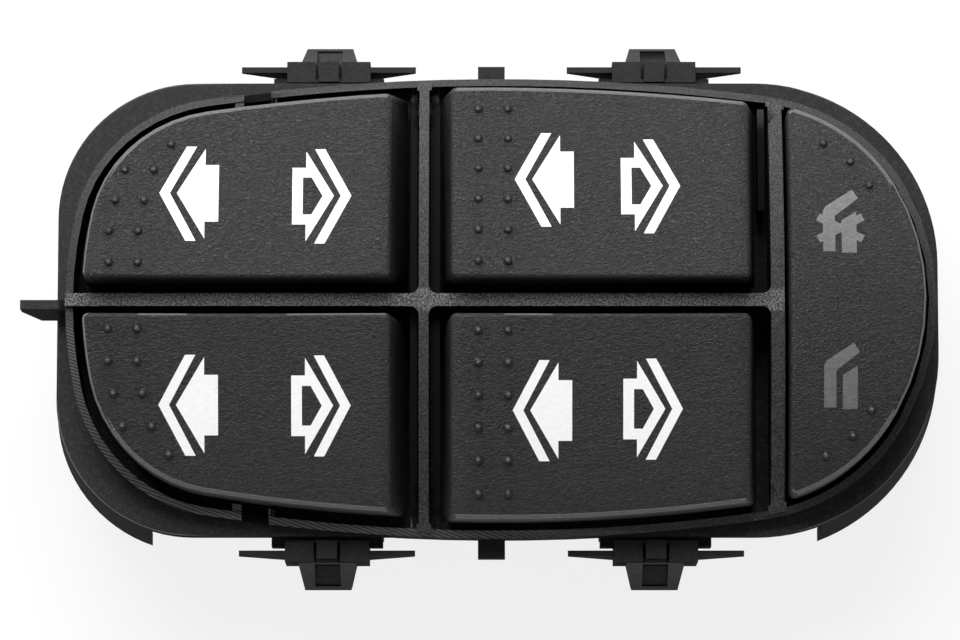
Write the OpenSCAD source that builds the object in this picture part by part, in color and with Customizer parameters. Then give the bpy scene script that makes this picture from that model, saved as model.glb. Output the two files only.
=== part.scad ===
// Power window switch for a door or console: five rocker caps in a moulded frame,
// over a circuit board, rubber dome pads and a snap-in base with its connector.
// X runs along the module, Y across it, Z out through the rockers. The origin is
// on the flat underside, below the middle of the module.

/* [Flange] */
// Lip of the flange beyond the rim at the narrow end
lip_left = 1.65; // [1.4:0.05:3]
// Lip of the flange beyond the rim at the wide end
lip_right = 0.85; // [0.7:0.05:3]
// Width of the flange plate
flange_wid = 61; // [60:0.5:64]
// Corner radius at the narrow end
flange_left_r = 18.3; // [16:0.1:20]
// Corner radius at the wide end
flange_right_r = 24.4; // [22:0.1:26]
// Thickness of the flange plate
flange_t = 2.2; // [1.8:0.1:2.6]
// Height of the flange's top face above the underside of the module
flange_z = 23; // [22:0.5:26]

/* [Rim and ribs] */
// Half width of the egg-shaped rim at its widest
rim_half_w = 30.9; // [30.5:0.1:31.5]
// Reach of the rim towards the narrow end
rim_left = 57.1; // [56.5:0.1:57.6]
// Reach of the rim towards the wide end
rim_right = 57.9; // [57.4:0.1:58.4]
// Radius of the rim's long sides
rim_top_r = 255; // [240:5:280]
// Radius of the narrow end's middle
rim_side_left_r = 59; // [56:1:64]
// Radius of the narrow end's corners
rim_corner_left_r = 20.5; // [19:0.5:22]
// Radius of the wide end's middle
rim_side_right_r = 33; // [31:0.5:36]
// Radius of the wide end's corners
rim_corner_right_r = 24.5; // [23:0.5:26]
// Thickness of the rim wall
rim_t = 1; // [0.8:0.1:1.2]
// Drop of the rim's top edge below the tops of the ribs
rim_drop = 0.7; // [0.3:0.1:1]
// Height of the ribs above the flange, at the middle
rib_h = 8.4; // [7.5:0.1:9]
// Crown radius of the rim and ribs, seen from the end
rib_crown_r = 75; // [70:1:90]
// Thickness of the long rib
long_rib_t = 1.7; // [1.3:0.1:1.9]
// Thickness of the cross rib between the window rockers
cross_rib_t = 1.3; // [1.1:0.1:1.6]
// Place of the cross rib between the window rockers
cross_rib_x = -9.8; // [-10.2:0.1:-9.4]
// Thickness of the cross rib beside the lock rocker
end_rib_t = 1.8; // [1.5:0.1:2]
// Place of the cross rib beside the lock rocker
end_rib_x = 36.9; // [36.7:0.1:37.1]
// Fillet where two ribs meet
rib_fillet = 1.2; // [0.6:0.1:1.4]
// Set-back of a cross rib's ends from the rim's outside
rib_end = 0.45; // [0.3:0.05:0.8]
// Widening of a cross rib's ends, on each side
rib_flare = 0.3; // [0.1:0.05:0.4]
// Drop of the steps beside the first cross rib, below its top
step_drop = 2.6; // [2:0.1:3.5]
// Gap between those steps and the rockers
step_gap = 0.4; // [0.35:0.05:0.6]
// Height of the low bar beside the second cross rib, above the flange
bar_h = 3; // [1:0.1:3.5]
// Middle of the notches in the rim
notch_x = -32.1; // [-34:0.1:-30]
// Length of a notch along the rim
notch_len = 3.6; // [3:0.1:4.5]
// Gap between a notch's lugs and the rocker
notch_gap = 0.5; // [0.4:0.05:0.8]
// Depth of the well floor below the flange's top face
well_drop = 1.1; // [0.9:0.1:1.4]

/* [Rockers] */
// Height of the rocker tops above the flange, at the middle
rocker_h = 12.2; // [11.5:0.1:13]
// Crown radius of the rocker tops, seen from the end
rocker_crown_r = 70; // [66:1:80]
// Rise of the finger dish towards a rocker's ends
dish_h = 0.6; // [0:0.1:0.8]
// Height of a rocker's lower edge above the flange
rocker_edge_h = 1.2; // [1.1:0.1:1.6]
// Gap from a rocker's inner wall to the module's centre line
rocker_inner_y = 2.3; // [2.2:0.1:2.6]
// Edge rounding of a rocker's top
rocker_fillet = 0.6; // [0.4:0.1:0.7]
// Corner radius of a rocker, seen from above
rocker_corner_r = 0.8; // [0.8:0.1:1.2]
// Length of the soft roll at a window rocker's straight ends
roll_len = 2; // [1.2:0.1:2.6]
// Drop of that roll at the end
roll_h = 0.4; // [0.1:0.05:0.5]
// Wall of the black cap
cap_wall = 1; // [0.8:0.1:1.2]
// Wall of the clear core inside the cap
core_wall = 1.2; // [1:0.1:1.4]
// Inner end of a left rocker's top
left_top_x = -14; // [-14.5:0.1:-13.8]
// Inner end of a middle rocker's top, towards the narrow end
mid_top_x1 = -6.3; // [-6.6:0.1:-6]
// Inner end of a middle rocker's top, towards the wide end
mid_top_x2 = 33.2; // [33:0.1:33.4]
// Straight side of the lock rocker
lock_x = 38.3; // [38.2:0.1:38.6]
// Gap from the rim's outside to a left rocker
left_gap = 2.5; // [2.4:0.1:2.8]
// Gap from the rim's outside to a middle rocker
mid_gap = 2; // [1.9:0.1:2.2]
// Gap from the rim's outside to the lock rocker
lock_gap = 1.7; // [1.6:0.1:1.9]
// Run-out of a left rocker's inner end wall, top to bottom
left_draft = 2; // [1:0.1:2.1]
// Run-out of a middle rocker's end walls, top to bottom
mid_draft = 1; // [0.5:0.1:1.3]
// Radius of a touch dot
dot_r = 0.6; // [0.5:0.05:0.8]
// Height of a touch dot
dot_h = 0.5; // [0.3:0.05:0.55]

/* [Pivots] */
// Radius of a rocker's pivot pins
pin_r = 1.2; // [1:0.05:1.4]
// Running clearance round a pivot pin
pin_gap = 0.05; // [0.03:0.01:0.09]
// Height of the pivot axis above the flange
pivot_h = 1.4; // [1.3:0.1:1.6]
// Thickness of a bearing bracket
bracket_t = 2; // [1.6:0.1:2.4]
// Gap between a bracket and the rocker's lug
lug_gap = 0.3; // [0.2:0.05:0.5]
// Distance from a window rocker's pivot to its plungers
plunger_reach = 14.5; // [13.5:0.5:15]
// Width of a plunger
plunger_w = 3; // [2.4:0.1:3.2]

/* [Circuit board] */
// Thickness of the board
board_t = 1.6; // [1.2:0.1:1.8]
// Depth of the board's top face below the flange's top face
board_drop = 5.8; // [5.6:0.1:6.2]
// Base sheet of a dome pad
pad_t = 0.8; // [0.6:0.1:1]
// Largest radius of a rubber dome
dome_r = 2.9; // [2.6:0.1:3]
// Gap between a dome and the plunger over it
dome_gap = 0.1; // [0.05:0.05:0.2]

/* [Base] */
// Wall of the base
base_wall = 1.6; // [1.4:0.1:2]
// Set-back of the base's long walls from the flange's edge
base_inset = 2.3; // [1.9:0.1:3]
// Depth of the skirts below the flange's top face
skirt_drop = 14; // [13:0.5:14.5]
// Outward lean of the skirts
skirt_lean = 0.9; // [0.5:0.1:1.3]
// Length of the skirt at the narrow end, along the module
skirt_left_len = 12.15; // [11:0.05:13.5]
// Length of the skirt at the wide end, along the module
skirt_right_len = 15.55; // [14:0.05:17]
// Depth of the connector housing's inside, from its mouth
socket_depth = 11; // [10.5:0.5:14]
// Length of the connector's opening
socket_len = 28; // [26:0.5:30]
// Width of the connector's opening
socket_wid = 10.4; // [9.6:0.2:12]
// Middle of the connector along the module
socket_x = 22; // [21:0.5:23]
// Side of a square terminal
terminal_w = 0.8; // [0.6:0.1:1]
// Distance between terminals in a row
terminal_pitch = 4; // [3.5:0.1:4.2]
// Width of a latch leg of the frame
leg_w = 5; // [4:0.5:6]
// Thickness of a latch leg
leg_t = 1; // [0.8:0.1:1.1]
// Length of a latch leg below the flange
leg_len = 5.3; // [5:0.1:5.8]

/* [Clips] */
// Place of the clips nearer the narrow end
clip_left_x = -22.7; // [-24:0.1:-21]
// Place of the clips nearer the wide end
clip_right_x = 21; // [20:0.1:22]
// Reach of a clip's block beyond the flange
clip_out = 3.2; // [2.5:0.1:4]
// Half span of a clip's wings
wing_span = 11.7; // [10:0.1:12.5]
// Reach of the snap tongue beyond the clip's block
tongue_out = 3.2; // [2.4:0.1:3.8]
// Drop of the tongue's lip below the flange's top face
tongue_drop = 8.8; // [8:0.1:10]

/* [Hidden] */
$fn = 48;
far = 100;
LEFT = 0;
MIDDLE = 1;
LOCK = 2;
UPPER = 1;
LOWER = -1;

flange_x1 = -rim_left - lip_left;
flange_x2 = rim_right + lip_right;
skirt_left_x = flange_x1 + skirt_left_len;
skirt_right_x = flange_x2 - skirt_right_len;
base_half_w = flange_wid / 2 - base_inset;
clip_reach = flange_wid / 2 + clip_out;
tongue_reach = clip_reach + tongue_out;
under_z = flange_z - flange_t;
floor_z = flange_z - well_drop;
pivot_z = flange_z + pivot_h;
edge_z = flange_z + rocker_edge_h;
board_top = flange_z - board_drop;
board_bottom = board_top - board_t;
dome_top = board_top + 2.7;
plunger_z = dome_top + dome_gap;
skirt_z = flange_z - skirt_drop;
base_floor = socket_depth;
base_floor_t = 2;
rib_axis_z = flange_z + rib_h - rib_crown_r;
rocker_axis_z = flange_z + rocker_h - rocker_crown_r;

// Middle of each kind of rocker, and its half length
left_mid_x = (left_top_x - rim_left + left_gap) / 2;
mid_mid_x = (mid_top_x1 + mid_top_x2) / 2;
lock_mid_x = (lock_x + rim_right - lock_gap) / 2;
pivot_x = [left_mid_x, mid_mid_x, lock_mid_x];
half_len = [left_top_x - left_mid_x, mid_top_x2 - mid_mid_x, lock_mid_x - lock_x];
gaps = [left_gap, mid_gap, lock_gap];

// Tips of the two window symbols, from the rocker's pivot and the centre line: [outer, inner] for
// the left and the middle rocker
upper_tips = [[[-10.3, 13.8], [15, 13.4]], [[-11.25, 15.7], [10.55, 14.8]]];
lower_tips = [[[-10.2, 14.3], [15, 14.4]], [[-11.55, 15], [10.75, 14.8]]];
lock_upper = [lock_x + 4.4, 10];
lock_lower = [lock_x + 4.4, -10.5];
dot_pitch = 4.2;
plunger_y = 7;
lock_plunger = [lock_x + 10.2, 13.5];
lamp_offset = 3.9;

// Outline of the rim: five tangent arcs above the X axis, mirrored below it
function meet(a, ra, b, rb, side) =
    let (d = norm(b - a), t = (ra * ra - rb * rb + d * d) / (2 * d),
         h = sqrt(ra * ra - t * t), u = (b - a) / d)
    a + t * u + side * h * [-u[1], u[0]];
function turn(v) = atan2(v[1], v[0]);
function ray(a) = [cos(a), sin(a)];

top_c = [0, rim_half_w - rim_top_r];
side_l_c = [rim_side_left_r - rim_left, 0];
side_r_c = [rim_right - rim_side_right_r, 0];
corner_l_c = meet(top_c, rim_top_r - rim_corner_left_r, side_l_c, rim_side_left_r - rim_corner_left_r, 1);
corner_r_c = meet(top_c, rim_top_r - rim_corner_right_r, side_r_c, rim_side_right_r - rim_corner_right_r, -1);
right_a = turn(corner_r_c - side_r_c);
top_a1 = turn(corner_r_c - top_c);
top_a2 = turn(corner_l_c - top_c);
left_a = turn(corner_l_c - side_l_c);

// Each point of an outline is kept with the direction that it moves in when the outline grows
function bend(c, r, a0, a1, n, first = 1) =
    [for (i = [first:n]) let (u = ray(a0 + (a1 - a0) * i / n)) [c + r * u, u]];
function fan(p, a0, a1, n) = [for (i = [0:n]) [p, ray(a0 + (a1 - a0) * i / n)]];
function run(p, q, a, n) = [for (i = [1:n - 1]) [p + (q - p) * i / n, ray(a)]];
function flip(list) = [for (i = [len(list) - 1:-1:0])
    [[list[i][0][0], -list[i][0][1]], [list[i][1][0], -list[i][1][1]]]];
function spread(list, r) = [for (s = list) s[0] + r * s[1]];

function rim_half(d) = concat(
    bend(side_r_c, rim_side_right_r - d, 0, right_a, 3, 0),
    bend(corner_r_c, rim_corner_right_r - d, right_a, top_a1, 10),
    bend(top_c, rim_top_r - d, top_a1, top_a2, 14),
    bend(corner_l_c, rim_corner_left_r - d, top_a2, left_a, 10),
    bend(side_l_c, rim_side_left_r - d, left_a, 180, 3));
function rim_line(d) = let (half = rim_half(d))
    concat(spread(half, 0), [for (i = [len(half) - 2:-1:1]) [half[i][0][0], -half[i][0][1]]]);

// Outlines of the rockers, as drawn in the upper row, shrunk by d and then by the corner radius.
// t runs from 0 at the top to 1 at the lower edge.
function left_line(t, d) =
    let (q = left_gap + d + rocker_corner_r, y = rocker_inner_y + d + rocker_corner_r, r = rim_top_r - q,
         xr = left_top_x + t * left_draft - d - rocker_corner_r, a = acos(xr / r), rs = rim_side_left_r - q,
         e = 180 - asin(y / rs))
    let (inner = [xr, y], outer = top_c + r * ray(a), tail = side_l_c + rs * ray(e))
    concat(fan(inner, -90, 0, 3), run(inner, outer, 0, 6), fan(outer, 0, a, 3),
        bend(top_c, r, a, top_a2, 7), bend(corner_l_c, rim_corner_left_r - q, top_a2, left_a, 9),
        bend(side_l_c, rs, left_a, e, 3), [for (i = [1:4]) [tail, ray(e + (270 - e) * i / 4)]],
        run(tail, inner, 270, 6));
function mid_line(t, d) =
    let (q = mid_gap + d + rocker_corner_r, y = rocker_inner_y + d + rocker_corner_r, r = rim_top_r - q,
         shrink = d + rocker_corner_r - t * mid_draft, xl = mid_top_x1 + shrink, xr = mid_top_x2 - shrink,
         ar = acos(xr / r), al = acos(xl / r))
    let (low1 = [xl, y], low2 = [xr, y], up2 = top_c + r * ray(ar), up1 = top_c + r * ray(al))
    concat(fan(low1, 180, 270, 3), run(low1, low2, 270, 6), fan(low2, 270, 360, 3), run(low2, up2, 0, 6),
        fan(up2, 0, ar, 3), bend(top_c, r, ar, al, 8),
        [for (i = [1:3]) [up1, ray(al + (180 - al) * i / 3)]], run(up1, low1, 180, 6));
function lock_half(d) =
    let (q = lock_gap + d + rocker_corner_r, r = rim_corner_right_r - q,
         a = acos((lock_x + d + rocker_corner_r - corner_r_c[0]) / r))
    concat(bend(side_r_c, rim_side_right_r - q, 0, right_a, 4, 0),
        bend(corner_r_c, r, right_a, a, 9),
        [for (i = [1:3]) [corner_r_c + r * ray(a), ray(a + (180 - a) * i / 3)]]);
function lock_line(d) = let (half = lock_half(d), top = half[len(half) - 1][0])
    concat(flip([for (i = [1:len(half) - 1]) half[i]]), half, run(top, [top[0], -top[1]], 180, 12));

function rocker_line(kind, t, d) =
    kind == LEFT ? left_line(t, d) : kind == MIDDLE ? mid_line(t, d) : lock_line(d);
function rocker_ring(kind, e, t) = spread(rocker_line(kind, t, 0), rocker_corner_r - e);
// Height of a rocker's top: a crown across the module, a dish along it and a roll at the straight ends
function crown(y) = rocker_axis_z + sqrt(pow(rocker_crown_r, 2) - y * y);
function dish(kind, x) = dish_h * pow((x - pivot_x[kind]) / half_len[kind], 2);
function end_gap(kind, x) = kind == LEFT ? left_top_x - x : min(x - mid_top_x1, mid_top_x2 - x);
function roll(kind, x) = roll_h * pow(max(0, 1 - max(0, end_gap(kind, x)) / roll_len), 2);
function top_z(kind, p) = crown(p[1]) + (kind == LOCK ? 0 : dish(kind, p[0]) - roll(kind, p[0]));

module rim_shape(d = 0) polygon(rim_line(d));

module flange_shape(d = 0) {
    x1 = flange_x1 + flange_left_r;
    x2 = flange_x2 - flange_right_r;
    y = flange_wid / 2;
    intersection() {
        translate([flange_x1 + d, -y + d]) square([flange_x2 - flange_x1 - 2 * d, flange_wid - 2 * d]);
        union() {
            translate([x1, -y]) square([x2 - x1, flange_wid]);
            translate([flange_x1, -y + flange_left_r]) square([flange_left_r, flange_wid - 2 * flange_left_r]);
            translate([x2, -y + flange_right_r]) square([flange_right_r, flange_wid - 2 * flange_right_r]);
            for (s = [-1, 1]) {
                translate([x1, s * (y - flange_left_r)]) circle(flange_left_r - d);
                translate([x2, s * (y - flange_right_r)]) circle(flange_right_r - d);
            }
        }
    }
}

module rib_corner(x, y, sx, sy) {
    translate([x, y]) scale([sx, sy]) difference() {
        translate([-0.2, -0.2]) square(rib_fillet + 0.2);
        translate([rib_fillet, rib_fillet]) circle(rib_fillet);
    }
}

module cross_strips(extra) {
    for (rib = [[cross_rib_x, cross_rib_t], [end_rib_x, end_rib_t]])
        translate([rib[0] - rib[1] / 2 - extra, -far]) square([rib[1] + 2 * extra, 2 * far]);
}

// The ribs seen from above; the cross ribs end a little inside the rim, and widen there
module rib_shape() {
    intersection() {
        rim_shape();
        translate([-rim_left, -long_rib_t / 2]) square([end_rib_x + rim_left, long_rib_t]);
    }
    intersection() {
        rim_shape(rib_end);
        cross_strips(0);
    }
    intersection() {
        difference() {
            rim_shape(rib_end);
            rim_shape(rim_t + 2 * rib_flare);
        }
        cross_strips(rib_flare);
    }
    for (sy = [-1, 1]) {
        rib_corner(cross_rib_x - cross_rib_t / 2, sy * long_rib_t / 2, -1, sy);
        rib_corner(cross_rib_x + cross_rib_t / 2, sy * long_rib_t / 2, 1, sy);
        rib_corner(end_rib_x - end_rib_t / 2, sy * long_rib_t / 2, -1, sy);
    }
}

// Two lugs beside each notch, which reach from the rim towards the rocker
module notch_lugs() {
    intersection() {
        difference() {
            rim_shape(rim_t - 0.3);
            rim_shape(left_gap - notch_gap);
        }
        for (lug = [[notch_x - notch_len / 2 - 1.2, 1.2], [notch_x + notch_len / 2, 0.8]])
            translate([lug[0], -far]) square([lug[1], 2 * far]);
    }
}

// A round bar along X whose top line is a crown
module crown_bar(r, z) translate([-far, 0, z]) rotate([0, 90, 0]) cylinder(r = r, h = 2 * far, $fn = 180);

module bracket(x, y, along_x) {
    r = pin_r + 1.6;
    w = 2 * r;
    translate([x, y, 0]) rotate([0, 0, along_x ? 90 : 0]) difference() {
        union() {
            translate([-r, -bracket_t / 2, floor_z - 0.5]) cube([w, bracket_t, pivot_z - floor_z + 0.5]);
            translate([0, -bracket_t / 2, pivot_z]) rotate([-90, 0, 0]) cylinder(r = r, h = bracket_t);
        }
        translate([0, -bracket_t, pivot_z]) rotate([-90, 0, 0])
            cylinder(r = pin_r + pin_gap, h = 2 * bracket_t);
    }
}

// How far a symbol or lug reaches into the core's roof
roof_lap = 0.5;

// Places of the brackets along each pivot axis
bracket_y = [8.3, 19.7];
bracket_x = [lock_mid_x - 4.5, lock_mid_x + 4.5];

// Openings in the well floor for the plungers and for the light of the lamps
module floor_window(p, size) translate([p[0] - size[0] / 2, p[1] - size[1] / 2, under_z - 1])
    cube([size[0], size[1], flange_t + 1]);
plunger_window = [plunger_w + 2.4, plunger_w + 1.4];
lamp_window = [4.4, 4.4];

function symbols(kind, row) = let (tips = row == UPPER ? upper_tips[kind] : lower_tips[kind])
    [for (tip = tips) [pivot_x[kind] + tip[0], row * tip[1]]];
function lamp_places(kind, row) = kind == LOCK ? [lock_upper + [0.8, 0], lock_lower + [0.8, 0.5]] :
    let (s = symbols(kind, row)) [s[0] + [lamp_offset, 0], s[1] - [lamp_offset, 0]];
function plunger_places(kind, row) = kind == LOCK ? [lock_plunger, [lock_plunger[0], -lock_plunger[1]]] :
    [for (s = [-1, 1]) [pivot_x[kind] + s * plunger_reach, row * plunger_y]];

// The locating fin at the narrow end
fin_t = 1.2;
fin_z = under_z - 5.3;
fin_top = flange_z + 3.8;
fin_reach = 6.3;

module fin() {
    tip_x = -rim_left - fin_reach;
    root_x = -rim_left + rim_t / 2;
    translate([0, fin_t / 2, 0]) rotate([90, 0, 0]) linear_extrude(fin_t)
        polygon([[tip_x, fin_top], [root_x, fin_top], [root_x, fin_z], [tip_x + 2, fin_z],
            [tip_x, flange_z + 0.8]]);
}

// Middles of the frame's latch legs, and the height of the bosses that they snap over
leg_x = [-36.5, -8.8, 33];
leg_gap = 0.15;
boss_z = under_z - 3.6;

// A leg of the frame with a window, drawn for the +Y side
module latch_leg() {
    y = base_half_w + leg_gap;
    difference() {
        translate([-leg_w / 2, y, under_z - leg_len]) cube([leg_w, leg_t, leg_len + 0.5]);
        translate([-leg_w / 2 + 1, y - 0.5, boss_z - 0.2]) cube([leg_w - 2, leg_t + 1, 2.2]);
    }
}

// The boss of the base in that window, with a ramp for the leg to slide over
module latch_boss() {
    y = base_half_w;
    w = leg_w - 2.4;
    translate([-w / 2, 0, 0]) rotate([90, 0, 90]) linear_extrude(w)
        polygon([[y - 0.5, boss_z], [y + 1, boss_z], [y + 1, boss_z + 0.5], [y + 0.2, boss_z + 1.8],
            [y - 0.5, boss_z + 1.8]]);
}

module rim_wall() {
    difference() {
        intersection() {
            translate([0, 0, under_z]) linear_extrude(flange_t + rib_h) difference() {
                rim_shape();
                rim_shape(rim_t);
            }
            crown_bar(rib_crown_r, rib_axis_z - rim_drop);
        }
        translate([notch_x - notch_len / 2, -far, flange_z + 0.9]) cube([notch_len, 2 * far, far]);
    }
    intersection() {
        translate([0, 0, under_z]) linear_extrude(flange_t + rib_h) notch_lugs();
        crown_bar(rib_crown_r, rib_axis_z - rim_drop - 0.2);
    }
}

module ribs() intersection() {
    translate([0, 0, under_z]) linear_extrude(flange_t + rib_h + 1) rib_shape();
    crown_bar(rib_crown_r, rib_axis_z);
}

// Steps beside the first cross rib, with a narrow groove between each step and the rib
step_groove = [0.25, 0.7];

module steps() {
    x1 = left_top_x + left_draft + step_gap;
    x2 = mid_top_x1 - mid_draft - step_gap;
    rib_x1 = cross_rib_x - cross_rib_t / 2 - step_groove[0];
    rib_x2 = cross_rib_x + cross_rib_t / 2 + step_groove[0];
    intersection() {
        translate([0, 0, under_z]) linear_extrude(flange_t + rib_h) intersection() {
            rim_shape(rim_t / 2);
            translate([x1, -far]) square([x2 - x1, 2 * far]);
        }
        crown_bar(rib_crown_r, rib_axis_z - step_drop - step_groove[1]);
    }
    intersection() {
        translate([0, 0, under_z]) linear_extrude(flange_t + rib_h) intersection() {
            rim_shape(rim_t / 2);
            union() {
                translate([x1, -far]) square([rib_x1 - x1, 2 * far]);
                translate([rib_x2, -far]) square([x2 - rib_x2, 2 * far]);
            }
        }
        crown_bar(rib_crown_r, rib_axis_z - step_drop);
    }
}

// The low bar stands in the gap between the upper middle rocker and the second cross rib
module low_bar() {
    x1 = mid_top_x2 + mid_draft + step_gap;
    x2 = end_rib_x - end_rib_t / 2 - 0.5;
    translate([x1, 12.7, under_z]) cube([x2 - x1, 13.7, flange_t + bar_h]);
}

module bezel_frame() color("#1b1b1c") {
    difference() {
        union() {
            translate([0, 0, under_z]) linear_extrude(flange_t) flange_shape();
            rim_wall();
            ribs();
        }
        translate([0, 0, floor_z]) linear_extrude(flange_t) difference() {
            rim_shape(rim_t);
            rib_shape();
            notch_lugs();
        }
        for (kind = [LEFT, MIDDLE], row = [LOWER, UPPER]) {
            for (p = plunger_places(kind, row)) floor_window(p, plunger_window);
            for (p = lamp_places(kind, row)) floor_window(p, lamp_window);
        }
        for (p = plunger_places(LOCK, UPPER)) floor_window(p, plunger_window);
        for (p = lamp_places(LOCK, UPPER)) floor_window(p, lamp_window);
    }
    for (kind = [LEFT, MIDDLE], row = [LOWER, UPPER], y = bracket_y)
        bracket(pivot_x[kind], row * y, false);
    for (x = bracket_x) bracket(x, 0, true);
    for (x = leg_x, s = [0, 1]) mirror([0, s, 0]) translate([x, 0, 0]) latch_leg();
    steps();
    low_bar();
    fin();
}

// The full outer form of a cap: rings from the lower edge over the rounded edge to the crown
module cap_form(kind) {
    steps = 3;
    shrink = [0.95, 0.9, 0.75, 0.5, 0.25];
    edge = rocker_ring(kind, rocker_fillet, 0);
    n = len(edge);
    mid = [pivot_x[kind], kind == LOCK ? 0 : (rocker_inner_y + rim_half_w - gaps[kind]) / 2];
    lower = [for (p = rocker_ring(kind, 0, 1)) [p[0], p[1], edge_z]];
    round_rings = [for (j = [0:steps]) let (a = 90 * j / steps)
        for (p = rocker_ring(kind, rocker_fillet * (1 - cos(a)), 0))
            [p[0], p[1], top_z(kind, p) - rocker_fillet * (1 - sin(a))]];
    inner = [for (s = shrink, p = edge) let (q = mid + s * (p - mid)) [q[0], q[1], top_z(kind, q)]];
    points = concat(lower, round_rings, inner, [[mid[0], mid[1], top_z(kind, mid)], [mid[0], mid[1], edge_z]]);
    rings = 1 + steps + 1 + len(shrink);
    last = n * (rings - 1);
    polyhedron(points, concat(
        [for (i = [0:n - 1]) [i, (i + 1) % n, last + n + 1]],
        [for (k = [0:rings - 2], i = [0:n - 1]) let (j = (i + 1) % n)
            each [[k * n + i, (k + 1) * n + i, (k + 1) * n + j], [k * n + i, (k + 1) * n + j, k * n + j]]],
        [for (i = [0:n - 1]) [last + i, last + n, last + (i + 1) % n]]), convexity = 4);
}

// The space inside a cap, with a crowned roof, down to z
module inside_form(kind, wall, z) {
    intersection() {
        translate([0, 0, z]) linear_extrude(far) polygon(spread(rocker_line(kind, 0, wall), rocker_corner_r));
        crown_bar(rocker_crown_r - wall, rocker_axis_z);
    }
}

// Chevron and arrow that point towards -X, with the chevron's tip at the origin
module window_symbol(open) {
    polygon([[0, 0], [3.5, 6.5], [4.85, 6.5], [1.4, 0], [4.85, -6.5], [3.5, -6.5]]);
    difference() {
        polygon([[2.3, 0], [6, 6.2], [6, 3.9], [7.8, 3.9], [7.8, -3.9], [6, -3.9], [6, -6.2]]);
        if (open) polygon([[3.8, 0], [5.25, 2.55], [6.4, 2.55], [6.4, -2.55], [5.25, -2.55]]);
    }
}

// A window with its glass, plain or crossed out, for unlocked and locked windows
module lock_symbol(crossed) {
    polygon([[0, -4.1], [0, 1.4], [0.4, 2], [3.9, 4.3], [4.7, 3.1], [1.6, 0.7], [1.6, -4.1]]);
    polygon([[2.45, -4.3], [2.45, 0.1], [4.4, 1.3], [4.4, -4.3]]);
    if (crossed) for (s = [-1, 1])
        translate([2.3, -0.95]) rotate([0, 0, s * 27]) square([6.6, 1.05], center = true);
}

module symbol_shape(kind, row) {
    if (kind == LOCK) {
        translate(lock_upper) lock_symbol(true);
        translate(lock_lower) lock_symbol(false);
    } else {
        s = symbols(kind, row);
        translate(s[0]) window_symbol(false);
        translate(s[1]) mirror([1, 0]) window_symbol(true);
    }
}

// Touch dots stand in two columns at a window rocker's outer end, and in a curve on the lock rocker
function dots(kind) =
    kind == LEFT ? concat([for (i = [0:3], c = [0, 1]) [6 - rim_left + 3.8 * c + [0, 0, 0.7, 1.9][i],
        4.4 + dot_pitch * i]], [[13.9 - rim_left, 4.4 + 3.86 * dot_pitch]]) :
    kind == MIDDLE ? [for (i = [0:5], c = [0, 1]) [mid_top_x1 + 3.7 + 3.9 * c, 4.6 + dot_pitch * i]] :
    [for (s = [-1, 1], p = [[4.7, 20.8], [8.2, 18.2], [10.6, 14.9]]) [lock_x + p[0], s * p[1]]];

module touch_dots(kind) {
    ball_r = (dot_r * dot_r + dot_h * dot_h) / (2 * dot_h);
    for (p = dots(kind)) translate([p[0], p[1], top_z(kind, p) + dot_h - ball_r]) sphere(ball_r, $fn = 24);
}

module row_side(row) mirror([0, row == UPPER ? 0 : 1, 0]) children();

module cap(kind, row) color("#222223") difference() {
    row_side(row) {
        cap_form(kind);
        touch_dots(kind);
    }
    row_side(row) inside_form(kind, cap_wall, edge_z - 1);
    translate([0, 0, edge_z]) linear_extrude(far) symbol_shape(kind, row);
}

module lug(along_x) {
    r = pin_r + 1;
    rotate([0, 0, along_x ? -90 : 0]) {
        translate([-r, 0, pivot_z]) cube([2 * r, bracket_t, far]);
        translate([0, 0, pivot_z]) rotate([-90, 0, 0]) cylinder(r = r, h = bracket_t);
    }
}

// Two lugs between the brackets, each with a pin that points outwards through its bracket
module pivots(places, along_x) {
    reach = bracket_t / 2 + lug_gap;
    pin_len = bracket_t + lug_gap + 0.2;
    for (i = [0, 1]) {
        s = i == 0 ? 1 : -1;
        at = places[i] + s * reach;
        start = s > 0 ? at : at - bracket_t;
        translate(along_x ? [start, 0, 0] : [0, start, 0]) lug(along_x);
        tail = s > 0 ? at - pin_len : at;
        translate(along_x ? [tail, 0, pivot_z] : [0, tail, pivot_z])
            rotate(along_x ? [0, 90, 0] : [-90, 0, 0]) cylinder(r = pin_r, h = pin_len + 0.01);
    }
}

module core(kind, row) color("#e9ebe6") {
    row_side(row) difference() {
        inside_form(kind, cap_wall, edge_z);
        inside_form(kind, cap_wall + core_wall, edge_z - 1);
    }
    // the symbols rise from the core's roof through the cap
    difference() {
        intersection() {
            row_side(row) cap_form(kind);
            translate([0, 0, edge_z]) linear_extrude(far) symbol_shape(kind, row);
        }
        row_side(row) inside_form(kind, cap_wall + roof_lap, edge_z - 1);
    }
    // plungers and pivot lugs hang from the roof
    intersection() {
        crown_bar(rocker_crown_r - cap_wall - roof_lap, rocker_axis_z);
        union() {
            for (p = plunger_places(kind, row))
                translate([p[0] - plunger_w / 2, p[1] - plunger_w / 2, plunger_z])
                    cube([plunger_w, plunger_w, far]);
            if (kind == LOCK) pivots(bracket_x, true);
            else row_side(row) translate([pivot_x[kind], 0, 0]) pivots(bracket_y, false);
        }
    }
}

// The board is narrower near both ends, where the base's corners are round
module board_shape() {
    difference() {
        union() {
            translate([flange_x1 + board_end + board_step[0], -board_half_w])
                square([board_len - 2 * board_step[0], 2 * board_half_w]);
            translate([flange_x1 + board_end, -board_half_w + board_step[1]])
                square([board_len, 2 * (board_half_w - board_step[1])]);
        }
        for (p = terminal_places())
            translate([p[0] - terminal_w / 2, p[1] - terminal_w / 2]) square(terminal_w);
    }
}

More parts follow.
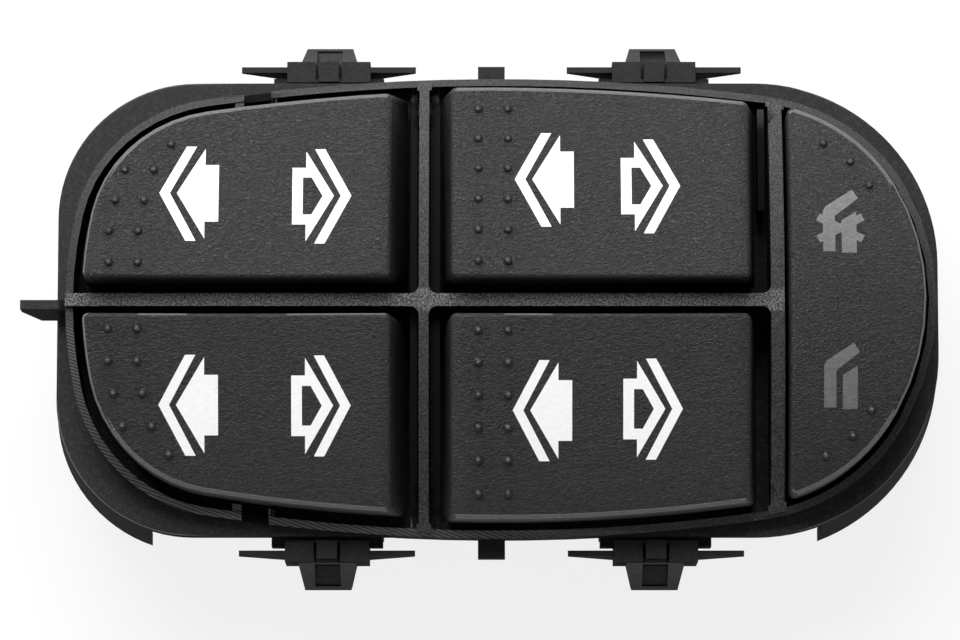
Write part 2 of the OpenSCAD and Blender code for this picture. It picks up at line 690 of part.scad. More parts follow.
board_end = 6;
board_len = flange_x2 - flange_x1 - 2 * board_end;
board_step = [11, 8];
board_half_w = base_half_w - base_wall - 1.6;
terminal_row_y = 2;
terminal_reach = 5.8;
header_len = 5 * terminal_pitch + 5;
header_wid = 2 * terminal_row_y + 3.2;
header_foot = 0.6;
function terminal_places() =
    [for (i = [0:5], s = [-1, 1]) [socket_x + terminal_pitch * (i - 2.5), terminal_row_y * s]];

module circuit_board() color("#1f5a36") translate([0, 0, board_bottom]) linear_extrude(board_t) board_shape();

module connector_header() color("#2a2a2c") difference() {
    translate([socket_x - header_len / 2, -header_wid / 2, base_floor - header_foot])
        cube([header_len, header_wid, board_bottom - base_floor + header_foot]);
    for (p = terminal_places())
        translate([p[0] - terminal_w / 2, p[1] - terminal_w / 2, 0]) cube([terminal_w, terminal_w, far]);
}

module terminals() color("#c9a24a") for (p = terminal_places())
    translate([p[0] - terminal_w / 2, p[1] - terminal_w / 2, base_floor - terminal_reach])
        cube([terminal_w, terminal_w, board_top + 0.8 - base_floor + terminal_reach]);

module dome_pad(kind, row) color("#8f9594") {
    places = plunger_places(kind, row);
    mid = (places[0] + places[1]) / 2;
    margin = 2 * dome_r + 0.4;
    size = kind == LOCK ? [margin, 2 * lock_plunger[1] + margin] : [2 * plunger_reach + margin, margin];
    translate([mid[0] - size[0] / 2, mid[1] - size[1] / 2, board_top]) cube([size[0], size[1], pad_t]);
    for (p = places) translate([p[0], p[1], board_top + pad_t])
        cylinder(r1 = dome_r, r2 = 1.7, h = dome_top - board_top - pad_t);
}

module lamps(kind, row) color("#f3e9b0") for (p = lamp_places(kind, row))
    translate([p[0] - 1.4, p[1] - 1.1, board_top]) cube([2.8, 2.2, 1.1]);

// Packages on the board: middle along the module, then length, width and height
control_chip = [-14, [9, 5, 1.5]];
regulator_chip = [4, [6, 4, 1.5]];
module chip(c) color("#242426") translate([c[0] - c[1][0] / 2, -c[1][1] / 2, board_top]) cube(c[1]);

// The base's plan: full width at the ends, drawn in between the skirts
module base_shape(d) intersection() {
    flange_shape(1 + d);
    union() {
        translate([-far, -base_half_w + d]) square([2 * far, 2 * (base_half_w - d)]);
        translate([-far, -far]) square([far + skirt_left_x - d, 2 * far]);
        translate([skirt_right_x + d, -far]) square([far, 2 * far]);
    }
}

function skirt_profile(r) = [[r - 1.4, under_z], [r, under_z], [r + skirt_lean, skirt_z],
    [r + skirt_lean - 1.4, skirt_z], [r - 1.4, skirt_z + 2]];

// A skirt round one end, drawn for the wide end: two corners and the straight wall between them
module skirt(r) {
    y = flange_wid / 2 - r;
    for (s = [-1, 1]) translate([0, s * y, 0]) rotate([0, 0, s > 0 ? 0 : -90])
        rotate_extrude(angle = 90, $fn = 96) polygon(skirt_profile(r));
    translate([0, y, 0]) rotate([90, 0, 0]) linear_extrude(2 * y) polygon(skirt_profile(r));
}

module skirts() {
    difference() {
        union() {
            translate([flange_x1 + flange_left_r, 0, 0]) mirror([1, 0, 0]) skirt(flange_left_r);
            translate([flange_x2 - flange_right_r, 0, 0]) skirt(flange_right_r);
        }
        translate([skirt_left_x, -far, 0]) cube([skirt_right_x - skirt_left_x, 2 * far, far]);
    }
}

// One snap clip, drawn for the +Y side at x = 0
clip_top = under_z - 0.3;
block_w = 11.2;
block_h = 6;
block_depth = 2.8;
arm_w = 14.8;
arm_t = 1.5;
tab_w = 2.7;
groove_w = 0.4;
wing_t = 0.75;

// Spring arm, joined to the base at its lower end, with a stop that meets the trim
module clip_arm() {
    arm_y = base_half_w + 0.4;
    foot_z = skirt_z + 2;
    stop_h = 3.3;
    stop_y = clip_reach - block_depth + 0.7;
    translate([-arm_w / 2, base_half_w - 0.5, foot_z]) cube([arm_w, arm_t + 0.9, 2.4]);
    translate([-arm_w / 2, arm_y, foot_z]) cube([arm_w, arm_t, clip_top - foot_z]);
    translate([-arm_w / 2, arm_y, clip_top - stop_h]) cube([arm_w, stop_y - arm_y, stop_h]);
}

// Block at the arm's top, with a raised tab between two grooves
module clip_block() {
    y = clip_reach - block_depth;
    difference() {
        translate([-block_w / 2, y, clip_top - block_h]) cube([block_w, block_depth, block_h + 1.2]);
        for (s = [-1, 1]) translate([s * (tab_w + groove_w) / 2 - groove_w / 2, y + 0.4, clip_top - 0.4])
            cube([groove_w, block_depth, 3]);
    }
    translate([-tab_w / 2, y, clip_top]) cube([tab_w, block_depth - 0.3, 1.7]);
}

// A wing on each side: an upright blade that gets lower towards its tip
module clip_wings() {
    root = block_w / 2 - 0.4;
    for (s = [0, 1]) mirror([s, 0, 0]) translate([0, clip_reach - 0.7, clip_top + 1]) rotate([90, 0, 0])
        linear_extrude(wing_t) polygon([[root, 0], [wing_span, 0], [wing_span, -0.8], [root, -block_h]]);
}

// Snap tongue: a ramp that leans out and down, with a pocket in its outer face
module clip_tongue() {
    lip_z = flange_z - tongue_drop;
    lip_w = 3.1;
    root_w = 4;
    root_y = clip_reach - 0.4;
    inner_y = clip_reach - 1.4;
    difference() {
        intersection() {
            translate([-far / 2, 0, 0]) rotate([90, 0, 90]) linear_extrude(far)
                polygon([[inner_y, clip_top - 0.5], [clip_reach, clip_top - 1.2],
                    [tongue_reach, lip_z], [tongue_reach - 0.5, lip_z - 0.8], [inner_y, lip_z + 1.6]]);
            linear_extrude(far) polygon([[-root_w, inner_y - 1], [-root_w, root_y], [-lip_w, tongue_reach],
                [lip_w, tongue_reach], [root_w, root_y], [root_w, inner_y - 1]]);
        }
        translate([-1.7, 0, 0]) rotate([90, 0, 90]) linear_extrude(3.4)
            polygon([[clip_reach + 0.15, clip_top + 1], [tongue_reach - 0.45, clip_top + 1],
                [tongue_reach - 0.45, lip_z + 0.4], [clip_reach + 0.15, lip_z + 2.2]]);
    }
}

module clip() {
    clip_arm();
    clip_block();
    clip_wings();
    clip_tongue();
}

// Middle and reach of the small location tabs
tab_x = -0.85;
tab_reach = flange_wid / 2 + 2.7;

// Connector housing under the base, with gussets at its sides
socket_wall = 2.4;
block_x1 = -14;
key_w = 1.8;

module socket_block() {
    x2 = socket_x + socket_len / 2 + socket_wall;
    y = socket_wid / 2 + socket_wall;
    translate([block_x1, -y, 0]) cube([x2 - block_x1, 2 * y, base_floor + 0.5]);
    for (x = [block_x1 + 5, socket_x - 9, socket_x + 9], s = [0, 1])
        mirror([0, s, 0]) translate([x - 0.6, 0, 0]) rotate([90, 0, 90]) linear_extrude(1.2)
            polygon([[y - 0.5, 3], [y - 0.5, base_floor + 0.5], [y + 8, base_floor + 0.5],
                [y + 8, base_floor - 1]]);
}

// Room for the plug, with two key grooves, and above it the header's seat
module socket_space() {
    translate([socket_x - socket_len / 2, -socket_wid / 2, -1])
        cube([socket_len, socket_wid, socket_depth + 1]);
    for (x = [socket_x - 8, socket_x + 5])
        translate([x, socket_wid / 2 - 0.5, -1]) cube([key_w, 1.7, socket_depth - 2]);
    translate([socket_x - header_len / 2 - 0.2, -header_wid / 2 - 0.2, 1])
        cube([header_len + 0.4, header_wid + 0.4, far]);
}

// Ledges that carry the board
ledge_len = 6;
ledge_lap = 3.4;
ledge_mid = 10;
ledge_end = 21;

module ledges() {
    y = board_half_w - ledge_lap;
    for (x = [flange_x1 + ledge_end, -ledge_mid, ledge_mid, flange_x2 - ledge_end], s = [0, 1])
        mirror([0, s, 0]) translate([x - ledge_len / 2, y, base_floor + 1])
            cube([ledge_len, base_half_w - 0.5 - y, board_bottom - base_floor - 1]);
}

module base_housing() color("#161617") {
    difference() {
        union() {
            translate([0, 0, base_floor]) linear_extrude(under_z - base_floor) base_shape(0);
            skirts();
            socket_block();
        }
        translate([0, 0, base_floor + base_floor_t]) linear_extrude(far) base_shape(base_wall);
        socket_space();
        // slot for the frame's fin
        translate([-far, -fin_t / 2 - 0.2, fin_z - 0.2]) cube([far + flange_x1 + 2.9, fin_t + 0.4, far]);
    }
    ledges();
    for (x = [clip_left_x, clip_right_x], s = [0, 1]) mirror([0, s, 0]) translate([x, 0, 0]) clip();
    for (x = leg_x, s = [0, 1]) mirror([0, s, 0]) translate([x, 0, 0]) latch_boss();
    // small location tabs in the middle of the long sides
    for (s = [0, 1]) mirror([0, s, 0]) translate([tab_x - 1.8, base_half_w - 0.4, under_z - 2.4])
        cube([3.6, tab_reach - base_half_w + 0.4, 2.3]);
}

bezel_frame();
base_housing();
circuit_board();
connector_header();
terminals();
cap(LEFT, UPPER);  // cap_upper_left
cap(MIDDLE, UPPER);  // cap_upper_middle
cap(LEFT, LOWER);  // cap_lower_left
cap(MIDDLE, LOWER);  // cap_lower_middle
cap(LOCK, UPPER);  // cap_lock
core(LEFT, UPPER);  // core_upper_left
core(MIDDLE, UPPER);  // core_upper_middle
core(LEFT, LOWER);  // core_lower_left
core(MIDDLE, LOWER);  // core_lower_middle
core(LOCK, UPPER);  // core_lock
dome_pad(LEFT, UPPER);  // domes_upper_left
dome_pad(MIDDLE, UPPER);  // domes_upper_middle
dome_pad(LEFT, LOWER);  // domes_lower_left
dome_pad(MIDDLE, LOWER);  // domes_lower_middle
dome_pad(LOCK, UPPER);  // domes_lock
lamps(LEFT, UPPER);  // lamps_upper_left
lamps(MIDDLE, UPPER);  // lamps_upper_middle
lamps(LEFT, LOWER);  // lamps_lower_left
lamps(MIDDLE, LOWER);  // lamps_lower_middle
lamps(LOCK, UPPER);  // lamps_lock
chip(control_chip);
chip(regulator_chip);
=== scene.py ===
import math

import bmesh
import bpy
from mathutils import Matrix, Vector


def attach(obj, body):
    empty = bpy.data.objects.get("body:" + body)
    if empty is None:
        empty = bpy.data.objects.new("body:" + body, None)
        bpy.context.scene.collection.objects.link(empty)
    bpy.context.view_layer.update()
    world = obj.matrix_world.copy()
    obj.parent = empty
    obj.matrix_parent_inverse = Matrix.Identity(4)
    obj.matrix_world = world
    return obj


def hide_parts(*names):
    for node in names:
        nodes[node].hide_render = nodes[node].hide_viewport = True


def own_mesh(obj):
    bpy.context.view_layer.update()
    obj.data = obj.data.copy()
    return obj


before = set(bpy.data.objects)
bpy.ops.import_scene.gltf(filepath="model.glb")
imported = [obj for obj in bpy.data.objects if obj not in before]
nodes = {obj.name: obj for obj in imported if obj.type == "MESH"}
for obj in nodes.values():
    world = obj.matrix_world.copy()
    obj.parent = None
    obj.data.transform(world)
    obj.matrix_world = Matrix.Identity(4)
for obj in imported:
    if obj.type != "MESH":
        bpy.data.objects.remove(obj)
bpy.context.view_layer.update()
print("frame loaded:", len(nodes), "nodes")


def newGroup(name, inputs, outputs):
    group = bpy.data.node_groups.new(name, "ShaderNodeTree")
    for socketName, value in inputs.items():
        socket = group.interface.new_socket(socketName, in_out="INPUT", socket_type="NodeSocketFloat")
        socket.default_value = value
    for socketName in outputs:
        group.interface.new_socket(socketName, in_out="OUTPUT", socket_type="NodeSocketFloat")
    return group, group.nodes.new("NodeGroupInput"), group.nodes.new("NodeGroupOutput")


def addMath(tree, operation, first, second):
    node = tree.nodes.new("ShaderNodeMath")
    node.operation = operation
    for socket, value in ((node.inputs[0], first), (node.inputs[1], second)):
        if isinstance(value, (int, float)):
            socket.default_value = value
        else:
            tree.links.new(value, socket)
    return node.outputs[0]


def addRange(tree, value, low, high, toLow, toHigh):
    node = tree.nodes.new("ShaderNodeMapRange")
    tree.links.new(value, node.inputs["Value"])
    for name, number in (("From Min", low), ("From Max", high), ("To Min", toLow), ("To Max", toHigh)):
        node.inputs[name].default_value = number
    return node.outputs["Result"]


def addNoise(tree, vector, scale, detail, roughness=0.55, distortion=0.0):
    node = tree.nodes.new("ShaderNodeTexNoise")
    tree.links.new(vector, node.inputs["Vector"])
    if isinstance(scale, (int, float)):
        node.inputs["Scale"].default_value = scale
    else:
        tree.links.new(scale, node.inputs["Scale"])
    node.inputs["Detail"].default_value = detail
    node.inputs["Roughness"].default_value = roughness
    node.inputs["Distortion"].default_value = distortion
    return node.outputs["Fac"]


def stretchedPlace(tree, stretch):
    place = tree.nodes.new("ShaderNodeTexCoord").outputs["Object"]
    combine = tree.nodes.new("ShaderNodeCombineXYZ")
    tree.links.new(stretch, combine.inputs["X"])
    combine.inputs["Y"].default_value = 1.0
    combine.inputs["Z"].default_value = 1.0
    multiply = tree.nodes.new("ShaderNodeVectorMath")
    multiply.operation = "MULTIPLY"
    tree.links.new(place, multiply.inputs[0])
    tree.links.new(combine.outputs[0], multiply.inputs[1])
    return multiply.outputs["Vector"]


# leather-like moulded grain: soft wavy ridges that run along X, with a finer pebble over them
def makeGrainGroup():
    group, start, end = newGroup("mouldedGrain", {"Scale": 1500.0, "Stretch": 0.6, "Pebble": 0.4},
                                 ["Height", "Shade"])
    place = stretchedPlace(group, start.outputs["Stretch"])
    ridges = addNoise(group, place, start.outputs["Scale"], 3.0, 0.6, 0.9)
    ridges = addRange(group, ridges, 0.32, 0.68, 0.0, 1.0)
    cells = group.nodes.new("ShaderNodeTexVoronoi")
    cells.feature = "SMOOTH_F1"
    cells.inputs["Smoothness"].default_value = 0.5
    group.links.new(place, cells.inputs["Vector"])
    group.links.new(addMath(group, "MULTIPLY", start.outputs["Scale"], 1.7), cells.inputs["Scale"])
    pebble = addMath(group, "SUBTRACT", 1.0, cells.outputs["Distance"])
    weighted = addMath(group, "MULTIPLY", pebble, start.outputs["Pebble"])
    height = addMath(group, "ADD", ridges, weighted)
    group.links.new(height, end.inputs["Height"])
    group.links.new(addRange(group, height, 0.2, 1.3, 0.0, 1.0), end.inputs["Shade"])
    return group


# pale specks of handling dust, denser in some places
def makeSpeckGroup():
    group, start, end = newGroup("handlingDust", {"Scale": 5200.0, "Amount": 0.5}, ["Mask"])
    place = group.nodes.new("ShaderNodeTexCoord").outputs["Object"]
    fine = addNoise(group, place, start.outputs["Scale"], 1.0)
    broad = addNoise(group, place, 90.0, 2.0)
    sharp = addRange(group, fine, 0.66, 0.76, 0.0, 1.0)
    patchy = addRange(group, broad, 0.35, 0.7, 0.3, 1.0)
    mask = addMath(group, "MULTIPLY", addMath(group, "MULTIPLY", sharp, patchy), start.outputs["Amount"])
    group.links.new(mask, end.inputs["Mask"])
    return group


grainGroup = makeGrainGroup()
speckGroup = makeSpeckGroup()


def placeGroup(tree, group, values):
    node = tree.nodes.new("ShaderNodeGroup")
    node.node_tree = group
    for name, value in values.items():
        node.inputs[name].default_value = value
    return node


def addMix(tree, factor, first, second):
    node = tree.nodes.new("ShaderNodeMix")
    node.data_type = "RGBA"
    tree.links.new(factor, node.inputs["Factor"])
    for socket, value in ((node.inputs[6], first), (node.inputs[7], second)):
        if isinstance(value, (tuple, list)):
            socket.default_value = (*value, 1.0)
        else:
            tree.links.new(value, socket)
    return node.outputs[2]


def addFade(tree, factor, value, level):
    rest = addMath(tree, "MULTIPLY", value, addMath(tree, "SUBTRACT", 1.0, factor))
    return addMath(tree, "ADD", rest, addMath(tree, "MULTIPLY", factor, level))


def startMaterial(name, roughness):
    material = bpy.data.materials.new(name)
    material.use_nodes = True
    tree = material.node_tree
    shader = tree.nodes["Principled BSDF"]
    shader.inputs["Roughness"].default_value = roughness
    return material, tree, shader


def addBump(tree, shader, height, strength, distance):
    bump = tree.nodes.new("ShaderNodeBump")
    bump.inputs["Strength"].default_value = strength
    bump.inputs["Distance"].default_value = distance
    tree.links.new(height, bump.inputs["Height"])
    tree.links.new(bump.outputs["Normal"], shader.inputs["Normal"])


plastics = {
    "rockerPlastic": {"dark": (0.002, 0.002, 0.003), "pale": (0.015, 0.015, 0.016), "roughness": (0.62, 0.36),
                      "specular": 0.35, "scale": 2900.0, "stretch": 0.66, "pebble": 0.5, "bump": 1.0,
                      "depth": 0.00009, "polish": 0.30,
                      # the edge colour is a painted highlight on the lit roundings and dot tops
                      "edgeHighlightColor": (0.10, 0.10, 0.103), "specks": 0.35, "speckColor": (0.10, 0.10, 0.105)},
    "framePlastic": {"dark": (0.008, 0.008, 0.009), "pale": (0.014, 0.014, 0.015), "roughness": (0.64, 0.52),
                     "specular": 0.27, "scale": 3600.0, "stretch": 1.0, "pebble": 0.8, "bump": 0.5,
                     "depth": 0.00003, "specks": 0.7, "speckColor": (0.16, 0.16, 0.165)},
    "basePlastic": {"dark": (0.009, 0.009, 0.010), "pale": (0.020, 0.020, 0.021), "roughness": (0.70, 0.60),
                    "specular": 0.26, "scale": 2600.0, "stretch": 0.9, "pebble": 0.4, "bump": 0.3,
                    "depth": 0.00003, "specks": 0.3, "speckColor": (0.07, 0.07, 0.075)},
    # a duller copy for steep faces: the lower sheen is the finish, the darker colour is painted shade
    "dullShadedSide": {"dark": (0.003, 0.003, 0.0035), "pale": (0.007, 0.007, 0.0075), "roughness": (0.92, 0.85),
                 "specular": 0.06, "scale": 2600.0, "stretch": 0.9, "pebble": 0.4, "bump": 0.2,
                 "depth": 0.00003, "specks": 0.2, "speckColor": (0.05, 0.05, 0.05)},
    "symbolWhite": {"dark": (0.80, 0.81, 0.81), "pale": (0.90, 0.90, 0.90), "roughness": (0.50, 0.42),
                    "specular": 0.5, "scale": 3200.0, "stretch": 0.5, "pebble": 0.4, "bump": 0.15,
                    "depth": 0.00002, "specks": 0.0, "speckColor": (0.6, 0.6, 0.6)},
    "symbolSmoked": {"dark": (0.085, 0.085, 0.088), "pale": (0.15, 0.15, 0.155), "roughness": (0.50, 0.42),
                     "specular": 0.45, "scale": 3200.0, "stretch": 0.5, "pebble": 0.5, "bump": 0.3,
                     "depth": 0.00002, "specks": 0.2, "speckColor": (0.2, 0.2, 0.2)},
    "chipPlastic": {"dark": (0.012, 0.012, 0.013), "pale": (0.022, 0.022, 0.023), "roughness": (0.6, 0.5),
                    "specular": 0.5, "scale": 3000.0, "stretch": 1.0, "pebble": 0.6, "bump": 0.2,
                    "depth": 0.00002, "specks": 0.1, "speckColor": (0.08, 0.08, 0.08)},
    "lampResin": {"dark": (0.78, 0.72, 0.42), "pale": (0.88, 0.82, 0.52), "roughness": (0.25, 0.18),
                  "specular": 0.5, "scale": 900.0, "stretch": 1.0, "pebble": 0.2, "bump": 0.05,
                  "depth": 0.00001, "specks": 0.0, "speckColor": (0.6, 0.6, 0.6)},
    "domeRubber": {"dark": (0.26, 0.27, 0.265), "pale": (0.36, 0.37, 0.36), "roughness": (0.7, 0.55),
                   "specular": 0.4, "scale": 2000.0, "stretch": 1.0, "pebble": 0.3, "bump": 0.1,
                   "depth": 0.00002, "specks": 0.5, "speckColor": (0.5, 0.5, 0.5)},
}


def makePlastic(name):
    s = plastics[name]
    material, tree, shader = startMaterial(name, s["roughness"][0])
    shader.inputs["Specular IOR Level"].default_value = s["specular"]
    grain = placeGroup(tree, grainGroup, {"Scale": s["scale"], "Stretch": s["stretch"], "Pebble": s["pebble"]})
    colour = addMix(tree, grain.outputs["Shade"], s["dark"], s["pale"])
    if s["specks"]:
        specks = placeGroup(tree, speckGroup, {"Amount": s["specks"]})
        colour = addMix(tree, specks.outputs["Mask"], colour, s["speckColor"])
    rough = addRange(tree, grain.outputs["Shade"], 0.0, 1.0, s["roughness"][0], s["roughness"][1])
    if "polish" in s:
        # painted highlight: the pale edge colour goes where this mask is high, on lit roundings and dot tops,
        # which it also polishes
        highlightMask = tree.nodes.new("ShaderNodeAttribute")
        highlightMask.attribute_name = "edgePolish"
        colour = addMix(tree, addRange(tree, highlightMask.outputs["Fac"], 0.6, 1.0, 0.0, 1.0), colour, s["edgeHighlightColor"])
        rough = addFade(tree, highlightMask.outputs["Fac"], rough, s["polish"])
    tree.links.new(colour, shader.inputs["Base Color"])
    tree.links.new(rough, shader.inputs["Roughness"])
    addBump(tree, shader, grain.outputs["Height"], s["bump"], s["depth"])
    return material


# zones of the frame, by the height under its crowned rib tops: the rib and rim tops painted pale as a painted
# highlight, with polished edges, the dull flanks in the wells painted dark as painted shade, and the fine slanted
# strokes on the lower part of the rim
frameZones = {"crownRadius": 0.075, "crownAxisZ": -0.0436, "flangeZ": 0.0233, "paintedHighlightColor": (0.17, 0.17, 0.175),
              "paintedShadeColor": (0.0025, 0.0025, 0.003), "strokeColor": (0.09, 0.09, 0.095), "strokePeriod": 0.0004,
              "glintScale": 4200.0, "mottleScale": 1300.0, "mottleColor": (0.030, 0.030, 0.032),
              "polish": 0.28, "dull": 0.95}


def makeZoneGroup():
    s = frameZones
    group, start, end = newGroup("frameZones", {"Glint": s["glintScale"], "Mottle": s["mottleScale"]},
                                 ["Top", "Flank", "Strokes", "Patches", "Polish", "Dull"])
    place = group.nodes.new("ShaderNodeTexCoord").outputs["Object"]
    parts = group.nodes.new("ShaderNodeSeparateXYZ")
    group.links.new(place, parts.inputs[0])
    x, y, z = parts.outputs
    squareY = addMath(group, "MULTIPLY", y, y)
    crownZ = addMath(group, "SQRT", addMath(group, "SUBTRACT", s["crownRadius"] ** 2, squareY), 0.0)
    under = addMath(group, "SUBTRACT", addMath(group, "ADD", crownZ, s["crownAxisZ"]), z)
    isRibTop = addRange(group, under, 0.0003, 0.0005, 1.0, 0.0)
    isRimTop = addMath(group, "MULTIPLY", addRange(group, under, 0.0004, 0.0006, 0.0, 1.0),
                       addRange(group, under, 0.0009, 0.0011, 1.0, 0.0))
    overFlange = addMath(group, "MULTIPLY", addRange(group, z, s["flangeZ"], s["flangeZ"] + 0.0002, 0.0, 1.0),
                         addRange(group, x, -0.0585, -0.058, 0.0, 1.0))
    # painted shade: the flanks and shoulders in the wells, below the tops and above the flange, are painted dark
    isShadedFlank = addMath(group, "MULTIPLY", addRange(group, under, 0.0012, 0.0016, 0.0, 1.0), overFlange)
    # painted highlight: the rib and rim tops are painted pale, broken into painted glints, the long rib most
    paintedGlints = addRange(group, addNoise(group, place, start.outputs["Glint"], 2.0, 0.7), 0.42, 0.60, 0.0, 1.0)
    isLongRib = addRange(group, squareY, 0.0013 ** 2, 0.0016 ** 2, 1.0, 0.0)
    ribShare = addRange(group, isLongRib, 0.0, 1.0, 0.28, 1.0)
    tops = addMath(group, "ADD", addMath(group, "MULTIPLY", isRibTop, ribShare),
                   addMath(group, "MULTIPLY", isRimTop, 0.14))
    group.links.new(isShadedFlank, end.inputs["Flank"])
    flangeEdge = addMath(group, "MULTIPLY", addRange(group, z, 0.02282, 0.02286, 0.0, 1.0),
                         addRange(group, z, 0.02296, 0.02298, 1.0, 0.0))
    group.links.new(flangeEdge, end.inputs["Polish"])
    # painted highlight: a thin pale line on the flange's outer edge, round the lower corners
    lineShare = addMath(group, "MULTIPLY", addRange(group, y, -0.016, -0.012, 1.0, 0.0),
                        addRange(group, addMath(group, "MULTIPLY", x, x), 0.038 ** 2, 0.042 ** 2, 0.0, 1.0))
    line = addMath(group, "MULTIPLY", flangeEdge, addMath(group, "MULTIPLY", lineShare, 0.8))
    tops = addMath(group, "MULTIPLY", tops, paintedGlints)
    group.links.new(addMath(group, "MAXIMUM", tops, line), end.inputs["Top"])
    isSide = addRange(group, z, 0.0226, 0.0227, 1.0, 0.0)
    group.links.new(addMath(group, "MAXIMUM", isShadedFlank, isSide), end.inputs["Dull"])
    across = addMath(group, "ADD", addMath(group, "MULTIPLY", x, 0.34), addMath(group, "MULTIPLY", y, 0.94))
    wave = addMath(group, "SINE", addMath(group, "MULTIPLY", across, math.tau / s["strokePeriod"]), 0.0)
    strokes = addRange(group, wave, -0.2, 0.6, 0.0, 1.0)
    lowSide = addMath(group, "MULTIPLY", addRange(group, y, -0.004, -0.001, 1.0, 0.0),
                      addRange(group, x, 0.0, 0.01, 1.0, 0.0))
    strokes = addMath(group, "MULTIPLY", addMath(group, "MULTIPLY", strokes, isRimTop), lowSide)
    group.links.new(strokes, end.inputs["Strokes"])
    patches = addRange(group, addNoise(group, place, start.outputs["Mottle"], 4.0, 0.7), 0.5, 0.7, 0.0, 1.0)
    isFlange = addMath(group, "SUBTRACT", 1.0, overFlange)
    group.links.new(addMath(group, "MULTIPLY", patches, isFlange), end.inputs["Patches"])
    return group


zoneGroup = makeZoneGroup()


def addZones(tree, shader, colour):
    s = frameZones
    zones = placeGroup(tree, zoneGroup, {})
    # the painted highlight on the tops and the painted shade on the flanks go into the base colour here, with the
    # mottle and strokes
    for mask, zoneColour in (("Patches", "mottleColor"), ("Top", "paintedHighlightColor"), ("Strokes", "strokeColor"),
                             ("Flank", "paintedShadeColor")):
        colour = addMix(tree, zones.outputs[mask], colour, s[zoneColour])
    tree.links.new(colour, shader.inputs["Base Color"])
    rough = shader.inputs["Roughness"].links[0].from_socket
    for mask, level in (("Polish", s["polish"]), ("Dull", s["dull"])):
        rough = addFade(tree, zones.outputs[mask], rough, level)
    tree.links.new(rough, shader.inputs["Roughness"])


boardSettings = {"mask": (0.02, 0.11, 0.045), "trace": (0.04, 0.20, 0.08), "scale": 260.0, "roughness": 0.35}


def makeBoard():
    material, tree, shader = startMaterial("boardLaminate", boardSettings["roughness"])
    place = tree.nodes.new("ShaderNodeTexCoord").outputs["Object"]
    wave = tree.nodes.new("ShaderNodeTexWave")
    wave.inputs["Scale"].default_value = boardSettings["scale"]
    wave.inputs["Distortion"].default_value = 2.5
    tree.links.new(place, wave.inputs["Vector"])
    lines = addRange(tree, wave.outputs["Fac"], 0.55, 0.62, 0.0, 1.0)
    tree.links.new(addMix(tree, lines, boardSettings["mask"], boardSettings["trace"]), shader.inputs["Base Color"])
    addBump(tree, shader, lines, 0.3, 0.00003)
    return material


brassSettings = {"bright": (0.78, 0.60, 0.30), "dull": (0.52, 0.40, 0.22), "roughness": 0.32}


def makeBrass():
    material, tree, shader = startMaterial("platedBrass", brassSettings["roughness"])
    shader.inputs["Metallic"].default_value = 1.0
    place = tree.nodes.new("ShaderNodeTexCoord").outputs["Object"]
    tarnish = addNoise(tree, place, 700.0, 4.0)
    tree.links.new(addMix(tree, addRange(tree, tarnish, 0.4, 0.65, 0.0, 1.0), brassSettings["bright"],
                          brassSettings["dull"]), shader.inputs["Base Color"])
    tree.links.new(addRange(tree, tarnish, 0.3, 0.7, 0.25, 0.45), shader.inputs["Roughness"])
    return material


materials = {name: makePlastic(name) for name in plastics}
frameTree = materials["framePlastic"].node_tree
frameShader = frameTree.nodes["Principled BSDF"]
addZones(frameTree, frameShader, frameShader.inputs["Base Color"].links[0].from_socket)
materials["boardLaminate"] = makeBoard()
materials["platedBrass"] = makeBrass()
print("materials made:", len(materials))


def solidCopy(node, pieceName, lowAngle):
    # one mesh with shared corners, and one face for each flat or nearly flat area
    mesh = nodes[node].data.copy()
    mesh.name = pieceName
    mesh.materials.clear()
    bm = bmesh.new()
    bm.from_mesh(mesh)
    bmesh.ops.remove_doubles(bm, verts=bm.verts, dist=1e-6)
    bmesh.ops.dissolve_limit(bm, angle_limit=math.radians(lowAngle), verts=bm.verts, edges=bm.edges)
    bm.to_mesh(mesh)
    bm.free()
    piece = bpy.data.objects.new(pieceName, mesh)
    bpy.context.scene.collection.objects.link(piece)
    return piece


def smoothByAngle(mesh, angle):
    mesh.polygons.foreach_set("use_smooth", [True] * len(mesh.polygons))
    mesh.set_sharp_from_angle(angle=math.radians(angle))


# the crown of each kind of rocker, in metres as in the part's source: pivot and half length along X,
# dish, and the straight ends where the top rolls off
crown = {"axisZ": -0.0348, "radius": 0.07, "rollLen": 0.002, "rollDrop": 0.0004}
# the window caps' tops read as nearly flat fields that lean outwards: the slope and its share of the shading
fieldLean = {"left": (0.16, 0.8), "middle": (0.16, 0.8), "lock": (0.0, 0.0)}
crowns = {
    "left": {"pivot": -0.0343, "half": 0.0203, "dish": 0.0006, "ends": (-1.0, -0.014)},
    "middle": {"pivot": 0.01345, "half": 0.01975, "dish": 0.0006, "ends": (-0.0063, 0.0332)},
    "lock": {"pivot": 0.0, "half": 1.0, "dish": 0.0, "ends": (-1.0, 1.0)},
}


def crownAt(kind, x, y):
    s = crowns[kind]
    run = math.sqrt(crown["radius"] ** 2 - y * y)
    z = crown["axisZ"] + run + s["dish"] * ((x - s["pivot"]) / s["half"]) ** 2
    slope = 2 * s["dish"] * (x - s["pivot"]) / s["half"] ** 2
    for end, way in zip(s["ends"], (-1, 1)):
        left = 1 - max(0.0, way * (end - x)) / crown["rollLen"]
        if left > 0:
            z -= crown["rollDrop"] * left * left
            slope -= way * 2 * crown["rollDrop"] * left / crown["rollLen"]
    lean, share = fieldLean[kind]
    across = (1 - share) * y / run + share * math.copysign(lean, y)
    return z, Vector((-slope, y / run, 1.0)).normalized(), Vector((-slope, across, 1.0)).normalized()


def narrowWidth(mesh, face):
    points = [mesh.vertices[v].co for v in face.vertices]
    longest = max((a - b).length for a in points for b in points)
    return 2 * face.area / longest


def getsEdgeHighlight(kind, face):
    # only the edges that take the painted highlight: not those along the ribs, nor the upper caps' edges that face
    # down, away from the light
    x, y = face.normal.x, face.normal.y
    if kind == "lock":
        return x > -0.3
    if y < -0.2 and face.center.y > 0:
        return False
    return x < 0.3 if kind == "left" else abs(x) < 0.3


